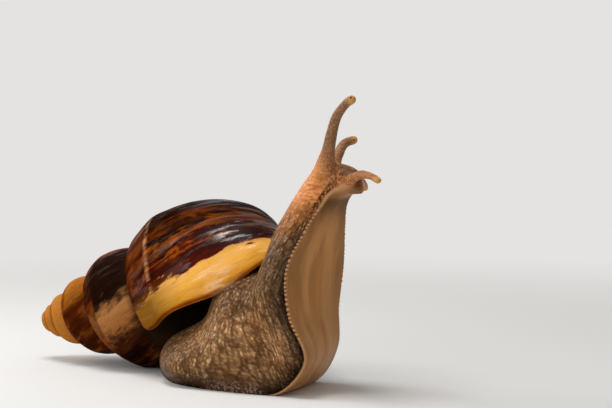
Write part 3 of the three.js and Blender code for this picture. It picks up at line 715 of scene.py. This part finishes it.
# Feelers: how far each point lies along one, from 0 at its root to 1 at its tip. Columns: name,
# the place at which its own finish begins, how far in mm the cream of its knob reaches down from
# the tip, and how grey it is.
LINE_POINTS = 120
CLOSE_BY = (0.3, 1.0)  # mm from a feeler's surface between which its finish fades
FULL_CREAM = 1.4  # mm from the tip that is all cream, or a third of its reach if that is less
on_feeler, grey, at_tip = np.zeros(len(skin)), np.zeros(len(skin)), np.zeros(len(skin))
for name, root, cream, tone in (
    ("upper_right", 0.3, 2.4, 1), ("upper_left", 0.24, 3.4, 0.9),
    ("lower_right", 0.36, 2.4, 0.6), ("lower_left", 0.4, 4.4, 0.4),
):
    line = blend(FEELERS[name], np.linspace(0, 1, LINE_POINTS))
    distance, place = np.full(len(skin), FAR_OFF), np.zeros(len(skin))
    for k, point in enumerate(line):
        gap = np.sqrt(((skin - point[:3]) ** 2).sum(axis=1)) - point[3]
        place = np.where(gap < distance, k / (LINE_POINTS - 1), place)
        distance = np.minimum(distance, gap)
    close = 1 - ease(*CLOSE_BY, distance)
    from_tip = np.linalg.norm(skin - line[-1, :3], axis=1)
    knob = 1 - ease(min(cream / 3, FULL_CREAM), cream, from_tip)
    on_feeler = np.maximum(on_feeler, close * ease(root - 0.16, root + 0.12, place))
    grey = np.maximum(grey, tone * close * ease(root - 0.22, root + 0.1, place))
    at_tip = np.maximum(at_tip, close * knob)

# The flesh flows over the joints of trunk, neck, head, feelers and nape, but keeps the sole's
# edge. A point off the foot's own surface counts as far from that edge.
OFF_FOOT, CLEAR_OF_EDGE = 1.0, 9.0
edge = np.where((off_foot > OFF_FOOT) & (edge > 0), CLEAR_OF_EDGE, edge)
trunk_zone = ease(1.5, 4.0, edge) * (1 - ease(30, 40, z)) * ease(1.5, 4.0, z)
head_zone = np.maximum(ease(1.0, 2.5, edge), ease(1.5, 3.0, -edge)) * ease(40, 44, z)
head_zone *= 1 - on_feeler
nape = ease(2.0, 4.5, edge) * ease(42, 47, z) * (1 - ease(55, 58, z)) * (1 - ease(21, 25, x))
for zone, pull, rounds in (
    (trunk_zone, STRONG_PULL, 150), (head_zone, STRONG_PULL, 55), (nape, STRONG_PULL, 120),
    (1 - on_feeler, LIGHT_PULL, LIGHT_ROUNDS),
):
    skin = smoothed(skin, pull * zone, rounds)

# Warts stand in upright rows that fan forward low on the flank and lean with the neck, so hide
# is each point moved along the body to where its row would stand upright.
BEND_HEIGHT, FAN, LEAN = 26, 0.5, 0.38  # mm, and mm along for each mm below or above it
x, y, z = skin.T
fan = FAN * ease(-8, 16, x) * np.minimum(z - BEND_HEIGHT, 0)
lean = LEAN * np.maximum(z - BEND_HEIGHT, 0)
hide = np.stack([x + fan - lean, y, z], axis=1)
flesh = ease(0.5, 2.5, edge) * (1 - on_feeler)
cross = np.cross(skin[quads[:, 2]] - skin[quads[:, 0]], skin[quads[:, 3]] - skin[quads[:, 1]])
normal = np.stack([
    np.bincount(quads.ravel(), np.repeat(cross[:, k], 4), len(skin)) for k in range(3)
], axis=1)
normal /= np.linalg.norm(normal, axis=1, keepdims=True)

# Upright folds and soft lumps on the flesh, and the teeth along the edge of the sole, uneven in
# their pitch and height.
FOLD_HEIGHT, FOLD_SIZE, LUMP_SIZE = 0.16, (2.4, 2.4, 8.0), 5.0
TOOTH_HEIGHT, TOOTH_AT, TOOTH_WIDE = 0.13, 0.1, 0.5  # mm, at a distance from the edge
PITCH_SWAY, HEIGHT_SWAY = 0.3, 0.4  # shares of the teeth's pitch and height
crimped = ease(14, 17, z) * (1 - ease(43, 47, z)) * (1 - on_feeler)
folds = FOLD_HEIGHT * (lumps(hide / FOLD_SIZE, 11) + lumps(skin / LUMP_SIZE, 12))
way = way + PITCH_SWAY * CRIMP * lumps(way[:, None] / (2.2 * CRIMP), 21)
teeth = TOOTH_HEIGHT * np.cos(TURN * way / CRIMP) * (1 + HEIGHT_SWAY * lumps(way[:, None] / 2.0, 22))
teeth *= np.exp(-((edge - TOOTH_AT) / TOOTH_WIDE) ** 2) * crimped
skin = skin + normal * (folds * flesh * (1 - ease(44, 50, z)) + teeth)[:, None]
skin[:, 2] = np.maximum(skin[:, 2], FLOOR)

# What the finish reads, each 0 to 1 but for places and distances in mm.
# Painted shadow on the sole under the head:
THROAT, THROAT_UP, THROAT_DOWN = 47.0, 1.3, 4.0  # height of its darkest line, and how it fades
throat_fade = np.where(z > THROAT, THROAT_UP, THROAT_DOWN)
# Painted light: the bulge of the flank is lit, the rear of the foot left darker, and the neck and head
# lighter.
painted_light_bulge = np.exp(-((z - 12.5) / 7.0) ** 2) * ease(-17, -4, x)
pucker = ease(-8, 0, x) * (1 - ease(9, 13, x)) * (1 - ease(2.0, 4.6, z)) * ease(0.2, 0.5, edge)
skin_fields = {
    "hide": hide, "edge": edge, "way": way, "crimped": crimped,
    "warm": ease(34, 48, z), "head": ease(42, 50, z), "low": 1 - ease(26, 42, z),
    "feeler": on_feeler, "grey": grey, "tip": at_tip,
    "snout": ease(24.5, 26.5, x) * ease(51.2, 52.4, z) * (1 - on_feeler),
    "top": ease(0.5, 0.85, normal[:, 2]),
    "front": ease(27, 29.5, x),
    "throat_shadow": np.exp(-((z - THROAT) / throat_fade) ** 2),
    "pale": np.maximum(painted_light_bulge, 0.42 * ease(36, 44, z)),
    "pucker": 0.75 * pucker,
    "mouth": np.exp(-((skin - MOUTH_AT) ** 2).sum(axis=1) / MOUTH_SIZE ** 2),
}

# Living skin, wet with slime over small firm warts, so it glints in points and lets a little
# light in. To the eye it is beige warts over brown grooves, an orange-brown head and a plain tan
# sole. The warts are drawn 0.7 to 0.85 mm apart, a little coarser than real ones, to show.
snail_skin = bpy.data.materials.new("snail_skin")
tree = new_tree(snail_skin)
fields = {}
for name in skin_fields:
    if name != "hide":
        fields[name] = add(tree, "Attribute", {}, out=2, attribute_name=name)
hide = add(tree, "Attribute", {}, out=1, attribute_name="hide")
place = add(tree, "TexCoord", {}, out=3)
wander = add(tree, "TexNoise", {"Vector": place, "Scale": 1 / (3.0 * MM), "Detail": 2.0}, out=1)
wander = add(tree, "VectorMath", {0: wander, 1: (-0.5, -0.5, -0.5)}, operation="ADD")
rows_of = add(tree, "VectorMath", {0: hide, 1: wander}, operation="ADD")
# Upright wrinkles of two sizes part the skin into ridges, each a row of small round warts.
# Columns: distance between the wrinkles and their length in mm, and width as a share of that.
GROOVE_FLOOR = 0.5  # share of its height and tint that a wart keeps in a wrinkle
grooves = []
for across, along, width in ((2.0, 12.0, 0.16), (1.05, 4.5, 0.4)):
    cell = (1 / across, 1 / across, 1 / along)
    size = add(tree, "VectorMath", {0: rows_of, 1: cell}, operation="MULTIPLY")
    groove = {"Vector": size, "Scale": 1.0, "Randomness": 0.85}
    groove = add(tree, "TexVoronoi", groove, feature="DISTANCE_TO_EDGE")
    groove = {0: groove, 1: 0.0, 2: width}
    grooves.append(add(tree, "MapRange", groove, interpolation_type="SMOOTHSTEP"))
BEAD = (1 / 0.72, 1 / 0.72, 1 / 0.85)  # one over the warts' distances in mm
bead = add(tree, "VectorMath", {0: rows_of, 1: BEAD}, operation="MULTIPLY")
bead = {"Vector": bead, "Scale": 1.0, "Randomness": 0.8, "Smoothness": 0.4}
bead = add(tree, "TexVoronoi", bead, feature="SMOOTH_F1")
bead = {0: bead, 1: 0.2, 2: 0.62, 3: 1.0, 4: 0.0}
bead = add(tree, "MapRange", bead, interpolation_type="SMOOTHSTEP")
wart = add(tree, "Math", {0: bead, 1: 0.5, 2: 0.5}, operation="MULTIPLY_ADD")
for groove in grooves:
    level = add(tree, "MapRange", {0: groove, 3: GROOVE_FLOOR, 4: 1.0})
    wart = add(tree, "Math", {0: wart, 1: level}, operation="MULTIPLY")
grains = {"Vector": place, "Scale": 1 / (0.5 * MM), "Detail": 3.0, "Roughness": 0.6}
grains = add(tree, "TexNoise", grains)
patches = add(tree, "TexNoise", {"Vector": place, "Scale": 1 / (7 * MM), "Detail": 3.0})
specks = add(tree, "TexVoronoi", {"Vector": place, "Scale": 1 / (0.6 * MM)})

flank = add(tree, "ValToRGB", {0: wart}, stops=[
    (0.15, "#50341e"), (0.4, "#7e5c3a"), (0.7, "#a07a52"), (1.0, "#c09a74"),
])
neck = add(tree, "ValToRGB", {0: wart}, stops=[
    (0.1, "#6c3a16"), (0.4, "#a46432"), (1.0, "#d49860"),
])
patched = add(tree, "MapRange", {0: patches, 1: 0.3, 2: 0.7, 3: -0.2, 4: 0.2})
warm = add(tree, "Math", {0: fields["warm"], 1: patched}, operation="ADD", use_clamp=True)
tint = add(tree, "Mix", {0: warm, 6: flank, 7: neck}, out=2, data_type="RGBA")
# The head is plainer, with fine wrinkles across it, 0.4 mm apart and drawn out level.
wrinkle_way = add(tree, "VectorMath", {0: place, 1: (0.22, 0.22, 1.0)}, operation="MULTIPLY")
wrinkles = add(tree, "TexNoise", {"Vector": wrinkle_way, "Scale": 1 / (0.4 * MM), "Detail": 2.0})
plain = add(tree, "ValToRGB", {0: wrinkles}, stops=[(0.3, "#b66630"), (0.5, "#d68a4c"), (0.7, "#e4a670")])
plainer = add(tree, "Math", {0: fields["head"], 1: 0.85}, operation="MULTIPLY")
tint = add(tree, "Mix", {0: plainer, 6: tint, 7: plain}, out=2, data_type="RGBA")
for field, low, high in ((grains, 0.88, 1.1), (patches, 0.9, 1.08)):
    shade = add(tree, "MapRange", {0: field, 1: 0.3, 2: 0.7, 3: low, 4: high})
    tint = add(tree, "VectorMath", {0: tint, "Scale": shade}, operation="SCALE")
# The bulge of the flank is palest, as painted light, and the neck and head lighter, while the rest, such as
# the rear of the foot and the flesh under the shell, is darker. A dark speckled band runs beside the edge
# of the sole.
painted_light_scale = add(tree, "MapRange", {0: fields["pale"], 3: 0.76, 4: 1.42})
tint = add(tree, "VectorMath", {0: tint, "Scale": painted_light_scale}, operation="SCALE")
far_edge = add(tree, "Mix", {0: fields["warm"], 2: 3.0, 3: 6.6})
beside = {0: fields["edge"], 1: 0.7, 2: far_edge}
beside = add(tree, "MapRange", beside, interpolation_type="SMOOTHSTEP")
beside = add(tree, "Math", {0: beside, 1: fields["front"]}, operation="MAXIMUM")
specked = add(tree, "MapRange", {0: specks, 1: 0.1, 2: 0.6, 3: 0.85, 4: 0.16})
specked = add(tree, "Mix", {0: beside, 2: specked, 3: 1.0})
tint = add(tree, "VectorMath", {0: tint, "Scale": specked}, operation="SCALE")
# Low on the flank a broad shade runs up from that band.
broad = {0: fields["edge"], 1: 1.0, 2: 8.5, 3: 0.32, 4: 1.0}
broad = add(tree, "MapRange", broad, interpolation_type="SMOOTHSTEP")
broad = add(tree, "Mix", {0: fields["low"], 2: 1.0, 3: broad})
tint = add(tree, "VectorMath", {0: tint, "Scale": broad}, operation="SCALE")
# Where the flank turns in to the ground it is puckered and pinkish.
pucker = add(tree, "ValToRGB", {0: specks}, stops=[(0.1, "#c0a094"), (0.35, "#86675a"), (0.6, "#4e3424")])
tint = add(tree, "Mix", {0: fields["pucker"], 6: tint, 7: pucker}, out=2, data_type="RGBA")
# The sole with its paler margin, drawn-out streaks and a painted shadow at the throat, under the
# head, and the crimped pinkish rim.
streaks = add(tree, "VectorMath", {0: place, 1: (1.0, 1.0, 0.14)}, operation="MULTIPLY")
streaks = add(tree, "TexNoise", {"Vector": streaks, "Scale": 1 / (3.0 * MM), "Detail": 3.0})
SOLE_HALF = 12  # mm from its edge to its middle
inward = add(tree, "Math", {0: fields["edge"], 1: -1 / SOLE_HALF}, operation="MULTIPLY")
sole = add(tree, "ValToRGB", {0: inward}, stops=[
    (0.0, "#c4945e"), (0.1, "#aa7848"), (0.28, "#ae7a4a"), (0.40, "#bc8650"), (0.7, "#c89058"),
    (1.0, "#bc824a"),
])
streaked = add(tree, "MapRange", {0: streaks, 1: 0.4, 2: 0.66, 3: 0.0, 4: 0.42})
sole = add(tree, "Mix", {0: streaked, 6: sole, 7: linear("#80542e")}, out=2, data_type="RGBA")
shade = add(tree, "MapRange", {0: fields["throat_shadow"], 3: 1.0, 4: 0.42})
sole = add(tree, "VectorMath", {0: sole, "Scale": shade}, operation="SCALE")
on_sole = add(tree, "MapRange", {0: fields["edge"], 1: -0.4, 2: 0.1, 3: 1.0, 4: 0.0})
tint = add(tree, "Mix", {0: on_sole, 6: tint, 7: sole}, out=2, data_type="RGBA")
crimp = add(tree, "Math", {0: fields["way"], 1: TURN / CRIMP}, operation="MULTIPLY")
crimp = add(tree, "Math", {0: crimp}, operation="COSINE")
crimp = add(tree, "MapRange", {0: crimp, 1: -0.7, 2: 0.7})
crimp = add(tree, "Mix", {0: fields["crimped"], 2: 0.8, 3: crimp})
rim_tint = add(tree, "Mix", {0: crimp, 6: linear("#805030"), 7: linear("#c89870")}, out=2, data_type="RGBA")
from_rim = add(tree, "Math", {0: fields["edge"], 1: 0.1}, operation="ADD")
from_rim = add(tree, "Math", {0: from_rim}, operation="ABSOLUTE")
narrower = add(tree, "MapRange", {0: fields["head"], 3: 1.0, 4: 0.8})
from_rim = add(tree, "Math", {0: from_rim, 1: narrower}, operation="MULTIPLY")
on_rim = add(tree, "MapRange", {0: from_rim, 1: 0.25, 2: 0.55, 3: 0.9, 4: 0.0})
tint = add(tree, "Mix", {0: on_rim, 6: tint, 7: rim_tint}, out=2, data_type="RGBA")
# Small warts on the snout, dark on its top; a dark mouth, spread as painted shade under the lower feelers;
# plain freckled feelers, a cream knob.
bumps = add(tree, "TexVoronoi", {"Vector": place, "Scale": 1 / (0.62 * MM)})
pale_warts = add(tree, "ValToRGB", {0: bumps}, stops=[
    (0.15, "#e0ac7c"), (0.4, "#b87a4a"), (0.65, "#7c4826"),
])
dark_warts = add(tree, "ValToRGB", {0: bumps}, stops=[
    (0.15, "#9c6644"), (0.35, "#54301e"), (0.6, "#301a10"),
])
snout = add(tree, "Mix", {0: fields["top"], 6: pale_warts, 7: dark_warts}, out=2, data_type="RGBA")
on_snout = add(tree, "Math", {0: fields["snout"], 1: 0.8}, operation="MULTIPLY")
tint = add(tree, "Mix", {0: on_snout, 6: tint, 7: snout}, out=2, data_type="RGBA")
# The mouth's dark colour reaches under the lower feelers as painted shade.
mouth_and_shade = add(tree, "Math", {0: fields["mouth"], 1: 0.8}, operation="MULTIPLY")
tint = add(tree, "Mix", {0: mouth_and_shade, 6: tint, 7: linear("#4a1c0c")}, out=2, data_type="RGBA")
limb = add(tree, "ValToRGB", {0: specks}, stops=[(0.1, "#aa8060"), (0.35, "#946c4e"), (0.7, "#7e5a3e")])
tint = add(tree, "Mix", {0: fields["grey"], 6: tint, 7: limb}, out=2, data_type="RGBA")
tint = add(tree, "Mix", {0: fields["tip"], 6: tint, 7: linear("#cc9654")}, out=2, data_type="RGBA")

# The warts stand up from the skin only on the flesh; grains and wrinkles are everywhere. Warts
# shine more than the grooves between them, and the sole hardly at all.
flesh_only = add(tree, "MapRange", {0: fields["edge"], 1: 0.2, 2: 1.4})
flesh_only = add(tree, "Mix", {0: fields["feeler"], 2: flesh_only, 3: 0.0})
smooth = add(tree, "MapRange", {0: fields["head"], 3: 1.0, 4: 0.25})
flesh_only = add(tree, "Math", {0: flesh_only, 1: smooth}, operation="MULTIPLY")
height = add(tree, "Math", {0: wart, 1: flesh_only}, operation="MULTIPLY")
bump = add(tree, "Bump", {"Strength": 1.0, "Distance": 0.2 * MM, "Height": height})
fine = add(tree, "Math", {0: grains, 1: 0.7, 2: specks}, operation="MULTIPLY_ADD")
fine = add(tree, "Mix", {0: fields["head"], 2: fine, 3: wrinkles})
bump = add(tree, "Bump", {"Strength": 0.5, "Distance": 0.1 * MM, "Height": fine, "Normal": bump})
rough = add(tree, "MapRange", {0: grains, 1: 0.3, 2: 0.7, 3: 0.24, 4: 0.46})
wet = add(tree, "MapRange", {0: wart, 1: 0.3, 2: 0.9, 3: 0.06, 4: 0.26})
wet = add(tree, "Mix", {0: plainer, 2: wet, 3: 0.1})
wet = add(tree, "Math", {0: wet, 1: specked}, operation="MULTIPLY")
wet = add(tree, "Mix", {0: on_sole, 2: wet, 3: 0.05})
shader = add(tree, "BsdfPrincipled", {
    "Base Color": tint, "Roughness": rough, "Normal": bump, "IOR": 1.4, "Specular IOR Level": wet,
    "Subsurface Weight": 0.1, "Subsurface Radius": (1.0, 0.5, 0.3), "Subsurface Scale": 1.0 * MM,
})
add(tree, "OutputMaterial", {0: shader})

no_triangles = np.empty((0, 3), dtype=int)
make_piece(
    "snail_flesh", skin, quads, no_triangles, skin_fields, snail_skin, "flesh",
    "foot_rear", "foot_front", "mantle", "neck_lower", "neck_upper", "head", "mouth",
    "feeler_upper_right", "feeler_upper_left", "feeler_lower_right", "feeler_lower_left",
)

# ---------------------------------------------------------------------------------------------
# The eyes: each is a small cup of dark pigment under a clear lens, grown into the skin of the
# knob on an upper feeler, so that only the lens shows.
# ---------------------------------------------------------------------------------------------
EYE_RADIUS = 0.45
EYE_OUT = 0.76  # from the middle of the knob
EYE_RINGS, EYE_POINTS = 18, 28

# Clear wet tissue over pigment, which the eye sees as a near-black bead with a small glint.
eye_lens = bpy.data.materials.new("eye_lens")
tree = new_tree(eye_lens)
place = add(tree, "TexCoord", {}, out=3)
cloud = add(tree, "TexNoise", {"Vector": place, "Scale": 1 / (0.4 * MM)})
tint = add(tree, "ValToRGB", {0: cloud}, stops=[(0.3, "#120b07"), (0.7, "#3a2312")])
shader = add(tree, "BsdfPrincipled", {"Base Color": tint, "Roughness": 0.15, "IOR": 1.4})
add(tree, "OutputMaterial", {0: shader})

# A ball: rings of points at even angles from pole to pole.
polar = np.linspace(0, math.pi, EYE_RINGS)[1:-1, None]
a = TURN * np.arange(EYE_POINTS)[None] / EYE_POINTS
ball = np.stack([np.sin(polar) * np.cos(a), np.sin(polar) * np.sin(a), np.cos(polar) + 0 * a], axis=-1)
pole = np.array([0, 0, EYE_RADIUS])
for side, outward in (("right", (0.4, -0.7, 0.6)), ("left", (0.55, -0.82, 0.1))):
    tip, neck_of_knob = FEELERS["upper_" + side][-1], FEELERS["upper_" + side][-2]
    way = (tip - neck_of_knob)[:3]
    knob = tip[:3] - tip[3] * way / np.linalg.norm(way)
    centre = knob + EYE_OUT * np.array(outward)
    vertices, quads, triangles = closed_grid(centre + EYE_RADIUS * ball, centre + pole, centre - pole)
    make_piece("eye_ball_" + side, vertices, quads, triangles, {}, eye_lens, "eye", "eye_" + side)
